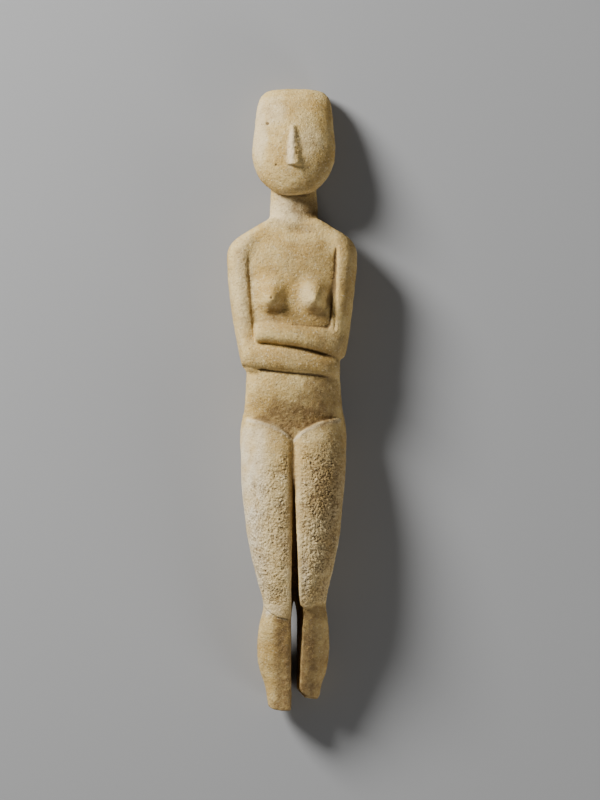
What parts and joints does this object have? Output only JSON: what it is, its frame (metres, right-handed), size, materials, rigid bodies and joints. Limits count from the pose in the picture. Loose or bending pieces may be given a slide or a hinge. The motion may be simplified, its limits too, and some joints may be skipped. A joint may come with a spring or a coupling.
{
  "type": "cycladic figurine",
  "caption": "Carved marble female figure with folded arms, a blade-like nose and broken shins, lying on its back.",
  "frame": {"origin": "middle of the box that holds the figure, on the plane it lies on", "axes": "+Y from the feet to the crown, +Z out of the figure's front, +X to the right as its front is seen"},
  "size_m": [0.0834, 0.4001, 0.0462],
  "materials": {
    "marble": "weathered white marble under an ochre patina, dull, pitted on the thighs"
  },
  "bodies": {
    "root": {"figurine": "marble"}
  },
  "joints": []
}
